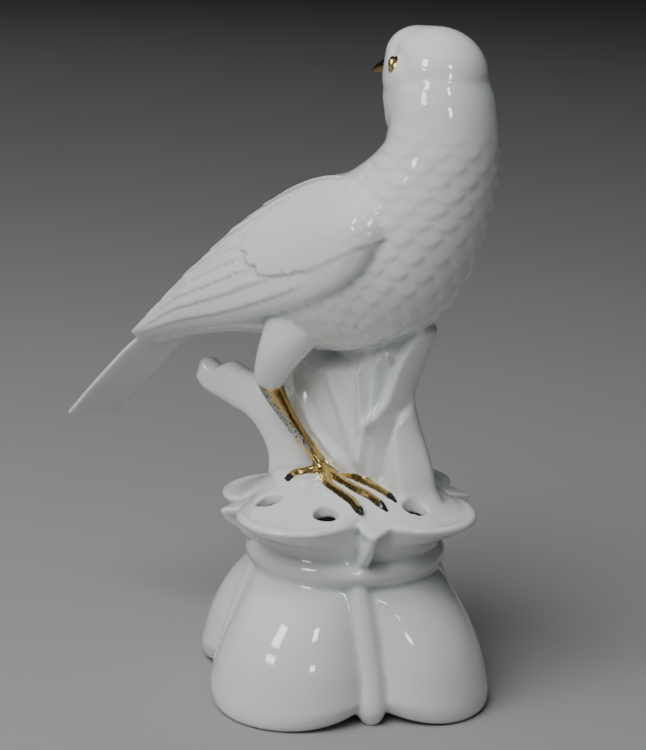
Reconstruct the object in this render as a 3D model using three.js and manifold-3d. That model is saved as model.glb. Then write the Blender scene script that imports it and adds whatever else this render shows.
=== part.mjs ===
// A glazed porcelain bird that looks back over its shoulder, on a flower-holder base.
// Millimetres, +Z up. The bird faces +X, its left side is +Y, and the origin is the
// centre of the flat underside. It is luted together as a potter does it: the hollow base is
// one solid, and the bird, with its leaves and its branch stub, is another one that stands on it.

import * as THREE from 'three';
import { mergeVertices } from 'three/addons/utils/BufferGeometryUtils.js';
import { ConvexGeometry } from 'three/addons/geometries/ConvexGeometry.js';
import Module from 'manifold-3d';

const wasm = await Module();
wasm.setup();

// The base: a bell of four lobes, a ring, a collar and a lobed disc.
const LOBES = 4;
const WALL = 3.6;
const BELL_RADIUS = 51.4;
const RING_RADIUS = 28.6;
const RING_THICK = 3.4;
const RING_HEIGHT = 45;
const DISC_RADIUS = 45;
const DISC_RIM = 60.2;
const MOUND_TOP = 68;

// A lobe's outline is a circle set off from the axis by this share of the outermost radius. At
// the foot it is set off further, so that the edge tucks under between two lobes.
const BELL_LOBE = 0.5;
const FOOT_LOBE = 0.56;
const DISC_LOBE = 0.52;

// The ribs that run down between the lobes, and the tongues above them.
const RIB_FOOT_RADIUS = 41.6;
const RIB_HALF = 3.3;
const RIB_FOOT_HALF = 4.8;
const TONGUE_RADIUS = 41;
const TONGUE_HALF = 5.4;
const TONGUE_LEAN = 2.4;

// The stem holes in the disc, in degrees from the bird's forward direction.
const STEM_HOLE = 7.8;
const STEM_CIRCLE = 29.4;
const STEM_LEVEL = 64.3;
const STEM_ANGLES = [-10, -68, -111, 117, 92];

// The bird.
const HEAD_AT = [25.6, 0.9, 195.5];
const HEAD_HALF = [17, 14.6, 15];
const HEAD_TURN = 166.7;
const BEAK_TIP = 27.5;
const BEAK_HALF = 3;
const EYE_RADIUS = 2.6;
const TAIL_HALF = 10;

// The luted joint between the base and what stands on it.
const JOINT_GAP = 0.3;

const radians = THREE.MathUtils.degToRad;
const vector = (point) => new THREE.Vector3(...point);

// A closed surface from rings of points: each ring is joined to the next one, and the first
// and last rings are closed by a fan around their middle. Faces are turned to point outwards.
function closedRings(rings) {
  const sides = rings[0].length;
  const points = rings.flat();
  const middle = (ring) => ring.reduce((sum, p) => sum.add(p), new THREE.Vector3()).divideScalar(sides);
  const faces = [];
  for (let ring = 0; ring < rings.length - 1; ring++) {
    for (let side = 0; side < sides; side++) {
      const a = ring * sides + side;
      const b = ring * sides + (side + 1) % sides;
      faces.push(a, b, b + sides, a, b + sides, a + sides);
    }
  }
  const first = points.push(middle(rings[0])) - 1;
  const last = points.push(middle(rings[rings.length - 1])) - 1;
  const top = (rings.length - 1) * sides;
  for (let side = 0; side < sides; side++) {
    const next = (side + 1) % sides;
    faces.push(first, next, side, last, top + side, top + next);
  }
  let volume = 0;
  for (let face = 0; face < faces.length; face += 3) {
    const [a, b, c] = faces.slice(face, face + 3).map((index) => points[index]);
    volume += a.dot(b.clone().cross(c));
  }
  if (volume < 0) faces.reverse();
  const geometry = new THREE.BufferGeometry().setFromPoints(points);
  geometry.setIndex(faces);
  return geometry;
}

// A round form along a curve. Each station has a middle, a half height and a half width, and
// the width lies along the side direction.
function loft(stations, { sides = 16, steps = 12, side = [0, 1, 0] }) {
  const path = new THREE.CatmullRomCurve3(stations.map((s) => vector(s.at)));
  const sizes = new THREE.CatmullRomCurve3(stations.map((s) => new THREE.Vector3(s.high, s.wide, 0)));
  const rings = [];
  for (let step = 0; step <= steps; step++) {
    const middle = path.getPoint(step / steps);
    const size = sizes.getPoint(step / steps);
    const along = path.getTangent(step / steps);
    const across = vector(side).projectOnPlane(along).normalize();
    const up = across.clone().cross(along);
    rings.push(Array.from({ length: sides }, (_, index) => {
      const angle = (index / sides) * 2 * Math.PI;
      return middle.clone()
        .addScaledVector(up, size.x * Math.cos(angle))
        .addScaledVector(across, size.y * Math.sin(angle));
    }));
  }
  return closedRings(rings);
}

// A blade between two edge curves, such as a wing, a tail or a leaf. It is arched outwards by
// its crown, it is thick in the middle and rounded at both edges, taper(t) thins it along its
// length, and relief(s, t) adds to its outer face at the place s across and t along it.
function blade({ near, far, out, crown, thick, across = 8, along = 12, taper = () => 1, relief = () => 0 }) {
  const nearEdge = new THREE.CatmullRomCurve3(near.map(vector));
  const farEdge = new THREE.CatmullRomCurve3(far.map(vector));
  const rings = [];
  for (let step = 0; step <= along; step++) {
    const t = step / along;
    const from = nearEdge.getPoint(t);
    const width = farEdge.getPoint(t).sub(from);
    const run = nearEdge.getTangent(t).add(farEdge.getTangent(t));
    const normal = width.clone().cross(run).normalize();
    if (normal.dot(vector(out)) < 0) normal.negate();
    const arch = (s) => crown * 4 * s * (1 - s) * Math.min(1, width.length() / (4 * Math.abs(crown) + 1e-6));
    const edge = (s) => Math.sqrt(Math.max(0, 1 - (2 * s - 1) ** 4)) * taper(t) * thick / 2;
    const place = (s, height) => from.clone().addScaledVector(width, s).addScaledVector(normal, height);
    const ring = [];
    for (let index = 0; index <= across; index++) {
      const s = (1 - Math.cos(Math.PI * index / across)) / 2;
      ring.push(place(s, arch(s) + edge(s) + relief(s, t)));
    }
    for (let index = across - 1; index > 0; index--) {
      const s = (1 - Math.cos(Math.PI * index / across)) / 2;
      ring.push(place(s, arch(s) - edge(s)));
    }
    rings.push(ring);
  }
  return closedRings(rings);
}

function ellipsoid(at, half, turn, detail) {
  return new THREE.SphereGeometry(1, detail, detail / 2)
    .rotateX(Math.PI / 2)
    .scale(...half)
    .rotateZ(radians(turn))
    .translate(...at);
}

// The lobed outline: four circles around the axis. share is how far their centres are set off,
// so 0 gives a plain circle.
function lobedRadius(angle, radius, share) {
  const step = 2 * Math.PI / LOBES;
  const inLobe = angle - Math.round(angle / step) * step;
  const centre = share * radius;
  const circle = radius - centre;
  return centre * Math.cos(inLobe) + Math.sqrt(circle ** 2 - (centre * Math.sin(inLobe)) ** 2);
}

// A closed form from lobed outlines stacked from the bottom up, pulled in by inset all round.
function lobedStack(levels, sides, inset = 0) {
  return closedRings(levels.map(([height, radius, share]) => Array.from({ length: sides }, (_, index) => {
    const angle = (index / sides) * 2 * Math.PI;
    const reach = Math.max(0.5, lobedRadius(angle, radius, share) - inset);
    return new THREE.Vector3(reach * Math.cos(angle), reach * Math.sin(angle), height);
  })));
}

// The outer form of the base. Each level is a height, the radius over a lobe and the lobe share.
const ringLevel = (degrees) => [
  RING_HEIGHT + RING_THICK * Math.sin(radians(degrees)),
  RING_RADIUS + RING_THICK * Math.cos(radians(degrees)),
  0,
];
const BELL_LEVELS = [
  [10, BELL_RADIUS - 1.2, BELL_LOBE],
  [17, BELL_RADIUS - 3.2, BELL_LOBE],
  [24, BELL_RADIUS - 6.4, BELL_LOBE],
  [30, BELL_RADIUS - 10.2, 0.47],
  [36, BELL_RADIUS - 15.4, 0.38],
];
const BASE_LEVELS = [
  [0, BELL_RADIUS - 2.2, FOOT_LOBE],
  [0.8, BELL_RADIUS - 0.6, FOOT_LOBE - 0.01],
  [2.6, BELL_RADIUS, BELL_LOBE + 0.02],
  ...BELL_LEVELS,
  [RING_HEIGHT - 3.8, RING_RADIUS + 1.4, 0.1],
  ...[-50, -15, 15, 50].map(ringLevel),
  [RING_HEIGHT + 3.8, RING_RADIUS + 1, 0.1],
  [53, RING_RADIUS + 4.4, 0.3],
  [57, DISC_RADIUS - 5, DISC_LOBE],
  [DISC_RIM - 0.8, DISC_RADIUS - 0.4, DISC_LOBE],
  [DISC_RIM + 0.3, DISC_RADIUS - 0.2, DISC_LOBE],
  [DISC_RIM + 1.2, DISC_RADIUS - 4, DISC_LOBE],
  [STEM_LEVEL, STEM_CIRCLE + 1, 0.25],
  [MOUND_TOP, 16, 0],
];

// The hollow inside it, for stems and water. It follows the bell's wall.
const HOLLOW_LEVELS = [
  [4.2, BELL_RADIUS - 1.2, BELL_LOBE],
  ...BELL_LEVELS,
  [RING_HEIGHT - 3, RING_RADIUS + 1, 0.1],
  [RING_HEIGHT + 5, RING_RADIUS + 1, 0.1],
  [57, DISC_RADIUS - 6.4, DISC_LOBE],
  [61.2, RING_RADIUS + 3, 0.3],
  [MOUND_TOP - WALL, 16, 0],
];

const overLobeGap = (index) => radians(45 + index * 90);

function around(radius, angle, height) {
  return [radius * Math.cos(angle), radius * Math.sin(angle), height];
}

function rib(angle) {
  const foot = RIB_FOOT_RADIUS - RIB_FOOT_HALF;
  return loft([
    { at: around(RING_RADIUS - 1, angle, RING_HEIGHT - 2), high: RIB_HALF - 0.5, wide: RIB_HALF - 0.3 },
    { at: around(RING_RADIUS + 2.4, angle, 32), high: RIB_HALF - 0.2, wide: RIB_HALF },
    { at: around(foot - 1.8, angle, 14), high: RIB_HALF + 0.3, wide: RIB_HALF + 0.6 },
    { at: around(foot, angle, 5), high: RIB_FOOT_HALF, wide: RIB_FOOT_HALF },
    { at: around(foot - 0.6, angle, 1.6), high: RIB_FOOT_HALF - 1.2, wide: RIB_FOOT_HALF - 1.2 },
    { at: around(foot - 1.8, angle, -0.6), high: RIB_HALF - 1.4, wide: RIB_HALF - 1.6 },
  ], { sides: 8, steps: 6, side: [-Math.sin(angle), Math.cos(angle), 0] });
}

// A tongue's two upper corners stand a little to one side of its nose.
function tongue(angle) {
  const sideways = new THREE.Vector3(-Math.sin(angle), Math.cos(angle), 0);
  const beside = (point, distance) => vector(point).addScaledVector(sideways, distance);
  const corner = around(TONGUE_RADIUS - 6.4, angle, DISC_RIM + 1);
  const nose = around(TONGUE_RADIUS - 0.4, angle, DISC_RIM - 0.2);
  return new ConvexGeometry([
    beside(corner, TONGUE_LEAN + TONGUE_HALF),
    beside(corner, TONGUE_LEAN - TONGUE_HALF),
    beside(nose, 2.6),
    beside(nose, -0.6),
    vector(around(TONGUE_RADIUS - 15, angle, STEM_LEVEL - 0.6)),
    vector(around(TONGUE_RADIUS - 1.6, angle, DISC_RIM - 3)),
    vector(around(RING_RADIUS + RING_THICK - 0.4, angle, RING_HEIGHT + 4)),
    vector(around(RING_RADIUS - 4, angle, RING_HEIGHT + 2)),
  ]);
}

function stemHole(degrees) {
  return new THREE.CylinderGeometry(STEM_HOLE / 2, STEM_HOLE / 2, 12, 12)
    .rotateX(Math.PI / 2)
    .translate(...around(STEM_CIRCLE, radians(degrees), STEM_LEVEL));
}

// The body and neck in one sweep, from the rump up to the throat.
function body() {
  return loft([
    { at: [-78, 0, 101], high: 2, wide: 5 },
    { at: [-66, 0, 109], high: 5.5, wide: 9 },
    { at: [-48, 0, 119], high: 11.5, wide: 14 },
    { at: [-27, 0, 128.5], high: 20, wide: 19.5 },
    { at: [-6, 0, 134], high: 26, wide: 23.5 },
    { at: [10.5, 0, 142.5], high: 27, wide: 24 },
    { at: [22.4, 0, 156.5], high: 22.4, wide: 21.6 },
    { at: [29, 0, 171], high: 17.8, wide: 18.6 },
    { at: [29.8, 0, 182], high: 16.2, wide: 16.6 },
    { at: [28, 0, 193], high: 14.6, wide: 14.8 },
    { at: [26.5, 0, 201], high: 10, wide: 10 },
  ], { sides: 20, steps: 18 });
}

// The head is turned back over the left shoulder: a skull with a steep forehead, full cheeks,
// round eyes and a short beak.
function head() {
  const face = radians(HEAD_TURN);
  const from = ([ahead, aside, above]) => [
    HEAD_AT[0] + ahead * Math.cos(face) - aside * Math.sin(face),
    HEAD_AT[1] + ahead * Math.sin(face) + aside * Math.cos(face),
    HEAD_AT[2] + above,
  ];
  const skull = ellipsoid(HEAD_AT, HEAD_HALF, HEAD_TURN, 16);
  const forehead = ellipsoid(from([8, 0, 6.4]), [10.8, 10.8, 8.7], HEAD_TURN, 12);
  const cheeks = ellipsoid(from([5, 0, -5.6]), [12, 12, 10], HEAD_TURN, 12);
  const eyes = [1, -1].map((hand) => ellipsoid(from([3.2, hand * 11.8, 6]), Array(3).fill(EYE_RADIUS), 0, 8));
  const beak = loft([
    { at: from([13, 0, 2.8]), high: BEAK_HALF + 0.3, wide: BEAK_HALF + 0.3 },
    { at: from([18, 0, 2.4]), high: BEAK_HALF - 0.4, wide: BEAK_HALF - 0.4 },
    { at: from([BEAK_TIP - 3.5, 0, 1]), high: 1.6, wide: 1.4 },
    { at: from([BEAK_TIP, 0, -0.4]), high: 0.4, wide: 0.4 },
  ], { sides: 8, steps: 4, side: [-Math.sin(face), Math.cos(face), 0] });
  return [skull, forehead, cheeks, ...eyes, beak];
}

// One wing, laid along the body from the shoulder to the tips over the rump. hand is 1 for the
// left wing and -1 for the right one. The covert feathers are a raised patch at the shoulder,
// and the long feathers behind it overlap in steps.
function wing(hand) {
  const patchEnd = (s) => 0.5 - 0.16 * (2 * s - 1.1) ** 2;
  const relief = (s, t) => {
    const inside = THREE.MathUtils.smoothstep(patchEnd(s) - t, -0.03, 0.03);
    const edges = Math.min(1, 6 * s * (1 - s));
    const step = 0.9 * (1 - (s * 5) % 1) * (1 - inside) * edges;
    return 0.9 * inside * edges + step;
  };
  const place = ([x, y, z]) => [x, hand * y, z];
  return blade({
    near: [
      [25, 19, 149],
      [18, 24.4, 139.5],
      [0, 23.6, 128],
      [-32, 17.6, 116],
      [-60, 12, 108.5],
      [-81, 8, 101.8],
    ].map(place),
    far: [
      [26, 17, 155],
      [15, 13, 163],
      [-8, 5, 163.4],
      [-34.4, 2.5, 149.8],
      [-58, 1.5, 125.6],
      [-81.5, 7, 102.6],
    ].map(place),
    out: place([0, 1, 0.4]),
    crown: 6,
    thick: 6,
    across: 10,
    along: 14,
    taper: (t) => Math.min(1, 0.2 + 4 * t),
    relief,
  });
}

function tail() {
  return blade({
    near: [[-62, -7, 112], [-80, -8, 102.6], [-96, -9.2, 87], [-110.5, -TAIL_HALF, 71]],
    far: [[-62, 7, 108], [-75, 8, 98], [-90, 9, 83], [-104, TAIL_HALF, 70]],
    out: [-1, 0, 1],
    crown: 0.8,
    thick: 3.2,
    across: 5,
    along: 6,
  });
}

// Where the claws meet the disc, before a leg is set aside: three in front and one behind. The
// left foot stands closer to the leaves, so its toes are shorter.
const RIGHT_CLAWS = [[20.4, 21.2, 64.3], [24.2, 13.4, 64.8], [22, 5, 65.6], [-16, 10.6, 66.6]];
const LEFT_CLAWS = [[6, 18, 64.9], [9.5, 14, 65.7], [8, 7, 67.4], [-18, 8, 65.7]];

// One leg with its toes. The right leg shows in front of the leaves and the left one stands
// behind them, set a little further out.
function leg(hand, aside, claws) {
  const place = ([x, y, z]) => [x, hand * (y + aside), z];
  const thigh = loft([
    { at: place([-10, 13, 128]), high: 10.5, wide: 8 },
    { at: place([-14, 15.4, 117]), high: 8.4, wide: 7 },
    { at: place([-18, 14.8, 108]), high: 6.2, wide: 5.6 },
    { at: place([-20.3, 13.4, 101]), high: 4.6, wide: 4.3 },
    { at: place([-20.6, 13, 98.6]), high: 4.2, wide: 4 },
  ], { sides: 10, steps: 6 });
  const ankle = [-7.8, 4.4, 72.6];
  const shank = loft([
    { at: place([-21, 13.2, 101]), high: 3.6, wide: 3.6 },
    { at: place([-19.6, 12.2, 97]), high: 3.7, wide: 3.4 },
    { at: place([-13.6, 8, 85.5]), high: 2.6, wide: 2.6 },
    { at: place(ankle), high: 2.2, wide: 2.5 },
    { at: place([-5, 4.2, 69]), high: 2, wide: 3.2 },
  ], { sides: 8, steps: 5 });
  const toes = claws.map((claw) => {
    const on = (share, rise) => ankle.map((from, axis) => from + (claw[axis] - from) * share
      + (axis === 2 ? rise : 0));
    return loft([
      { at: place(on(0.03, -0.5)), high: 1.9, wide: 1.9 },
      { at: place(on(0.4, 0.4)), high: 1.7, wide: 1.7 },
      { at: place(on(0.8, 0.6)), high: 1.4, wide: 1.4 },
      { at: place(on(1, 0)), high: 0.6, wide: 0.6 },
    ], { sides: 6, steps: 4 });
  });
  return [thigh, shank, ...toes];
}

// The stump under the belly, with the stub of a broken branch to the rear.
function stump() {
  const core = loft([
    { at: [1, 5, 60], high: 24, wide: 13 },
    { at: [0, 5, 72], high: 19, wide: 9 },
    { at: [-1, 5, 88], high: 15, wide: 7.4 },
    { at: [-1, 5, 104], high: 16, wide: 8 },
    { at: [2, 4, 118], high: 17, wide: 9 },
  ], { sides: 12, steps: 6 });
  const branch = loft([
    { at: [-12, 4, 66], high: 12, wide: 9 },
    { at: [-23, 3, 77], high: 10, wide: 8.4 },
    { at: [-36, 2, 86], high: 7.6, wide: 6.8 },
    { at: [-48, 1, 90], high: 5.4, wide: 5.4 },
    { at: [-57, 0, 92.4], high: 4.6, wide: 4.4 },
    { at: [-60, 0, 93.4], high: 2.2, wide: 2.2 },
  ], { sides: 10, steps: 8 });
  return [core, branch];
}

// A pointed leaf with a raised fold down its middle. wide is its half width at the foot and at
// the middle, and it thins towards the tip.
function leaf({ foot, tip, wide, out, bow = 0 }) {
  const middle = foot.map((value, axis) => (value + tip[axis]) / 2 + (axis === 0 ? bow : 0));
  const sideways = vector(out).cross(new THREE.Vector3(0, 0, 1)).normalize();
  const edge = (sign) => [
    vector(foot).addScaledVector(sideways, sign * wide[0]).toArray(),
    vector(middle).addScaledVector(sideways, sign * wide[1]).toArray(),
    vector(tip).addScaledVector(sideways, sign * 0.4).toArray(),
  ];
  return blade({
    near: edge(-1),
    far: edge(1),
    out,
    crown: -1,
    thick: 4.4,
    across: 4,
    along: 5,
    taper: (t) => 1 - 0.6 * t,
    relief: (s) => 2.4 * (1 - Math.abs(2 * s - 1)),
  });
}

// The leaves, from the front right to the rear left, then two plainer ones on the far side.
const LEAVES = [
  { foot: [9, -1, 60], tip: [28, -2.6, 118.5], wide: [4, 5.6], out: [0.3, -1, 0], bow: -2.4 },
  { foot: [17, 13, 60], tip: [18.4, 5, 97.6], wide: [8, 6.6], out: [0.7, -0.7, 0], bow: 0.6 },
  { foot: [9, -3.6, 60], tip: [6, -4.6, 111], wide: [3.4, 2.6], out: [0.1, -1, 0] },
  { foot: [5, -1.6, 60], tip: [-8, -3, 112], wide: [5, 6.6], out: [-0.1, -1, 0], bow: 1 },
  { foot: [-4, -1.4, 60], tip: [-21, -1, 106], wide: [6, 7], out: [-0.2, -1, 0], bow: 2 },
  { foot: [9, 14, 60], tip: [6, 9, 114], wide: [7, 8], out: [0.2, 1, 0] },
  { foot: [-9, 13, 60], tip: [-13, 9, 110], wide: [7, 8], out: [-0.2, 1, 0] },
];

function toSolid(geometry) {
  const bare = geometry.clone();
  bare.deleteAttribute('normal');
  bare.deleteAttribute('uv');
  const merged = mergeVertices(bare, 1e-4);
  return new wasm.Manifold(new wasm.Mesh({
    numProp: 3,
    vertProperties: new Float32Array(merged.attributes.position.array),
    triVerts: new Uint32Array(merged.index.array),
  }));
}

function toGeometry(manifold) {
  const mesh = manifold.getMesh();
  const geometry = new THREE.BufferGeometry();
  geometry.setAttribute('position', new THREE.BufferAttribute(mesh.vertProperties, 3));
  geometry.setIndex(new THREE.BufferAttribute(mesh.triVerts, 1));
  geometry.computeVertexNormals();
  return geometry;
}

const fused = (forms) => forms.map(toSolid).reduce((sum, form) => sum.add(form));
const cutBy = (solid, cuts) => cuts.map(toSolid).reduce((left, cut) => left.subtract(cut), solid);

// Where leaves cross, a sliver can be left loose, so only the casting itself is kept.
function largestPiece(solid) {
  return solid.decompose().reduce((big, piece) => (piece.volume() > big.volume() ? piece : big));
}

function porcelainMesh(name, solid) {
  const glaze = new THREE.MeshStandardMaterial({ color: 0xe9ebe8, roughness: 0.12, metalness: 0 });
  const mesh = new THREE.Mesh(toGeometry(largestPiece(solid)), glaze);
  mesh.name = name;
  return mesh;
}

const gaps = Array.from({ length: LOBES }, (_, index) => overLobeGap(index));
const stemHoles = STEM_ANGLES.map(stemHole);
const floor = new THREE.BoxGeometry(4 * BELL_RADIUS, 4 * BELL_RADIUS, 10).translate(0, 0, -5);
const wholeBase = fused([lobedStack(BASE_LEVELS, 48), ...gaps.map(rib), ...gaps.map(tongue)]);
const base = cutBy(wholeBase, [floor, lobedStack(HOLLOW_LEVELS, 26, WALL), ...stemHoles]);
const birdAndLeaves = fused([
  body(),
  ...head(),
  wing(1),
  wing(-1),
  tail(),
  ...leg(-1, 0, RIGHT_CLAWS),
  ...leg(1, 9, LEFT_CLAWS),
  ...stump(),
  ...LEAVES.map(leaf),
]);
const bird = cutBy(birdAndLeaves.subtract(wholeBase.translate(0, 0, JOINT_GAP)), stemHoles);

const part = new THREE.Group();
part.add(porcelainMesh('porcelain_base', base), porcelainMesh('porcelain_bird', bird));

export default part;
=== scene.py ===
# %% [markdown]
# The real object is a slip-cast porcelain figurine: a white glazed bird on a flower-holder base,
# with a gilt beak, eye, leg and toes. It left its mould as one casting, so it is one mesh here.
# The mesh is made the way a modeller builds the master: simple forms are laid together, they
# are fused, the joins are softened as glaze softens them, and the feathers are cut in last.

# %% Load the frame and keep the solid's box
import math
import bmesh
import bpy
import numpy as np
from mathutils import Matrix, Vector
from mathutils.kdtree import KDTree


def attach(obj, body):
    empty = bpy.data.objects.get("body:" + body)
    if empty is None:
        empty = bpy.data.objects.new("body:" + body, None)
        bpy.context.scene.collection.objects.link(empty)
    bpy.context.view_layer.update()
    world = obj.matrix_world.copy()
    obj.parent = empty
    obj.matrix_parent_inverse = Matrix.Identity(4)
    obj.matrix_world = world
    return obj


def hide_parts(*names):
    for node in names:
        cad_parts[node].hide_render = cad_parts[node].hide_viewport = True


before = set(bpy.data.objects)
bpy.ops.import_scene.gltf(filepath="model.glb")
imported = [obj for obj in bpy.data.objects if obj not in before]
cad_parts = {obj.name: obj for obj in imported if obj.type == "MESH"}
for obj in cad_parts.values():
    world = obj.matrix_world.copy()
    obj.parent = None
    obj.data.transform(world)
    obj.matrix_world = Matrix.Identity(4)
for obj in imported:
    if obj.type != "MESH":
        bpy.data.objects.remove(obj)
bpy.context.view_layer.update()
MM = 0.001
NODES = ("porcelain_base", "porcelain_bird")

# %% [markdown]
# The camera comes first. It stands to the bird's right and in front, a little above the bird's
# middle, and it leans by a degree or two. The lens and the distance were fitted to the round
# ring and the lobes of the base.

# %% Camera at the photograph's angle
VIEW_TURN = math.radians(34.7)
VIEW_DOWN = 0.239
VIEW_ROLL = 0.032
VIEW_DISTANCE = 604.2 * MM
VIEW_TARGET = (-8.8 * MM, 100.8 * MM)
LENS = 92.54

turn_to_part = Matrix.Rotation(VIEW_TURN, 3, "Z")
sight = Vector((0, math.cos(VIEW_DOWN), -math.sin(VIEW_DOWN)))
level_right = Vector((1, 0, 0))
level_up = Vector((0, math.sin(VIEW_DOWN), math.cos(VIEW_DOWN)))
target = Vector((VIEW_TARGET[0], 0, VIEW_TARGET[1]))
right = turn_to_part @ (level_right * math.cos(VIEW_ROLL) + level_up * math.sin(VIEW_ROLL))
up = turn_to_part @ (level_up * math.cos(VIEW_ROLL) - level_right * math.sin(VIEW_ROLL))
eye_point = turn_to_part @ (target - sight * VIEW_DISTANCE)
back = turn_to_part @ -sight


def placed(name, data):
    """An object in the scene for a mesh, a camera or a light."""
    made = bpy.data.objects.new(name, data)
    bpy.context.scene.collection.objects.link(made)
    return made


camera_data = bpy.data.cameras.new("camera")
camera_data.lens = LENS
camera_data.sensor_width = 36
camera = placed("camera", camera_data)
stand = Matrix((right, up, back)).transposed().to_4x4()
stand.translation = eye_point
camera.matrix_world = stand
bpy.context.scene.camera = camera
print("camera at", [round(value / MM) for value in eye_point], "mm")

# %% [markdown]
# Every form is a skin over rings of points. A curve through a few chosen points gives the
# middle line, a second curve gives the half height and half width along it, and a loop lays
# the rings. The helpers work in millimetres, and the finished mesh is scaled to metres once.

# %% Curves and skins
forms = []


def curve(points, count):
    """A smooth line through the points, sampled at count even shares of its spans."""
    points = np.array(points, float)
    padded = np.vstack([2 * points[0] - points[1], points, 2 * points[-1] - points[-2]])
    place = np.linspace(0, len(points) - 1, count)
    span = np.minimum(place.astype(int), len(points) - 2)
    share = (place - span)[:, None]
    p0, p1, p2, p3 = (padded[span + k] for k in range(4))
    spans = (p0, p1), (p1, p2), (p2, p3)
    gap = [np.sqrt(np.linalg.norm(b - a, axis=1))[:, None] for a, b in spans]
    gap[1] = np.where(gap[1] < 1e-4, 1, gap[1])
    gap = [np.where(g < 1e-4, gap[1], g) for g in gap]
    leave = ((p1 - p0) / gap[0] - (p2 - p0) / (gap[0] + gap[1]) + (p2 - p1) / gap[1]) * gap[1]
    arrive = ((p2 - p1) / gap[1] - (p3 - p1) / (gap[1] + gap[2]) + (p3 - p2) / gap[2]) * gap[1]
    cube = 2 * p1 - 2 * p2 + leave + arrive
    square = 3 * p2 - 3 * p1 - 2 * leave - arrive
    return p1 + leave * share + square * share ** 2 + cube * share ** 3


def unit(vectors):
    return vectors / np.maximum(np.linalg.norm(vectors, axis=-1, keepdims=True), 1e-9)


def skin(rings):
    """A closed skin over rings, with a fan over each end. It is kept in forms."""
    rings = np.array(rings, float)
    count, sides = rings.shape[:2]
    points = np.vstack([rings.reshape(-1, 3), rings[0].mean(0), rings[-1].mean(0)])
    first, last = len(points) - 2, len(points) - 1
    around = np.arange(sides)
    beyond = (around + 1) % sides
    faces = []
    for ring in range(count - 1):
        a, b = ring * sides + around, ring * sides + beyond
        faces += np.stack([a, b, b + sides, a + sides], 1).tolist()
    end = (count - 1) * sides
    faces += [[first, int(b), int(a)] for a, b in zip(around, beyond)]
    faces += [[last, int(a), int(b)] for a, b in zip(around + end, beyond + end)]
    forms.append((points, faces))
    return len(forms) - 1


def loft(stations, sides=48, steps=64, side=(0, 1, 0)):
    """A round form along a curve. A station is a middle, a half height and a half width."""
    middle = curve([place for place, high, wide in stations], steps)
    size = curve([(high, wide) for place, high, wide in stations], steps)
    along = unit(np.gradient(middle, axis=0))
    side = np.array(side, float)
    across = unit(side - along * (along @ side)[:, None])
    top = np.cross(across, along)
    angle = np.linspace(0, 2 * math.pi, sides, endpoint=False)
    rings = (
        middle[:, None]
        + top[:, None] * size[:, None, :1] * np.cos(angle)[None, :, None]
        + across[:, None] * size[:, None, 1:2] * np.sin(angle)[None, :, None]
    )
    return skin(rings)


def blade(near, far, out, crown, thick, across=36, along=90, taper=lambda t: 1.0, notch=None):
    """A blade between two edge curves. Returns its upper side, with shares across and along."""
    near, far = curve(near, along), curve(far, along)
    if notch:
        far = far - unit(far - near) * notch(np.linspace(0, 1, along))[:, None]
    width = far - near
    run = np.gradient(near, axis=0) + np.gradient(far, axis=0)
    normal = unit(np.cross(width, run))
    normal *= np.where(normal @ np.array(out, float) < 0, -1, 1)[:, None]
    s = (1 - np.cos(np.linspace(0, math.pi, across + 1))) / 2
    rings, uppers = [], []
    for step in range(along):
        t = step / (along - 1)
        room = min(1, np.linalg.norm(width[step]) / (4 * abs(crown) + 1e-6))
        arch = crown * 4 * s * (1 - s) * room
        edge = np.sqrt(np.maximum(0, 1 - (2 * s - 1) ** 4)) * taper(t) * thick / 2
        line = near[step] + width[step] * s[:, None]
        upper = line + normal[step] * (arch + edge)[:, None]
        lower = line + normal[step] * (arch - edge)[:, None]
        rings.append(np.vstack([upper, lower[-2:0:-1]]))
        uppers.append(np.column_stack([upper, s, np.full(across + 1, t)]))
    skin(rings)
    return np.vstack(uppers)


def ball_points(at, half, turn=0.0, rings=40, sides=64):
    """Rings of points on an ellipsoid that is turned about the vertical."""
    tilt = np.linspace(0.04, math.pi - 0.04, rings)
    angle = np.linspace(0, 2 * math.pi, sides, endpoint=False)
    x = half[0] * np.sin(tilt)[:, None] * np.cos(angle)
    y = half[1] * np.sin(tilt)[:, None] * np.sin(angle)
    z = half[2] * np.cos(tilt)[:, None] * np.ones(sides)
    cos, sin = math.cos(turn), math.sin(turn)
    spun = np.stack([x * cos - y * sin, x * sin + y * cos, z], 2)
    return spun + np.array(at, float)


def ball(at, half, turn=0.0):
    return skin(ball_points(at, half, turn))


def hull(points):
    """The tight skin round a cloud of points, kept in forms."""
    shape = bmesh.new()
    for point in np.array(points, float).reshape(-1, 3):
        shape.verts.new(point)
    bmesh.ops.convex_hull(shape, input=shape.verts)
    loose = [vert for vert in shape.verts if not vert.link_faces]
    bmesh.ops.delete(shape, geom=loose, context="VERTS")
    shape.verts.index_update()
    made = np.array([vert.co for vert in shape.verts])
    forms.append((made, [[vert.index for vert in face.verts] for face in shape.faces]))
    shape.free()
    return len(forms) - 1


def smooth_step(value, low, high):
    """0 up to low, 1 from high on, and a soft rise between them."""
    share = np.clip((np.asarray(value, float) - low) / (high - low), 0, 1)
    return share * share * (3 - 2 * share)


def mesh_object(name, points, faces):
    mesh = bpy.data.meshes.new(name)
    mesh.from_pydata(np.array(points).tolist(), [], faces)
    mesh.update()
    return placed(name, mesh)


def applied(made):
    """Keeps what the modifiers make of an object as its plain mesh."""
    bpy.context.view_layer.update()
    shown = made.evaluated_get(bpy.context.evaluated_depsgraph_get())
    mesh = bpy.data.meshes.new_from_object(shown)
    made.modifiers.clear()
    made.data = mesh
    return made


def square(half, height=0):
    return [(x * half, y * half, height) for x, y in ((-1, -1), (1, -1), (1, 1), (-1, 1))]


print("a curve of 5 through 3 points:", curve([(0, 0), (1, 1), (2, 0)], 5).round(2).tolist())

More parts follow.
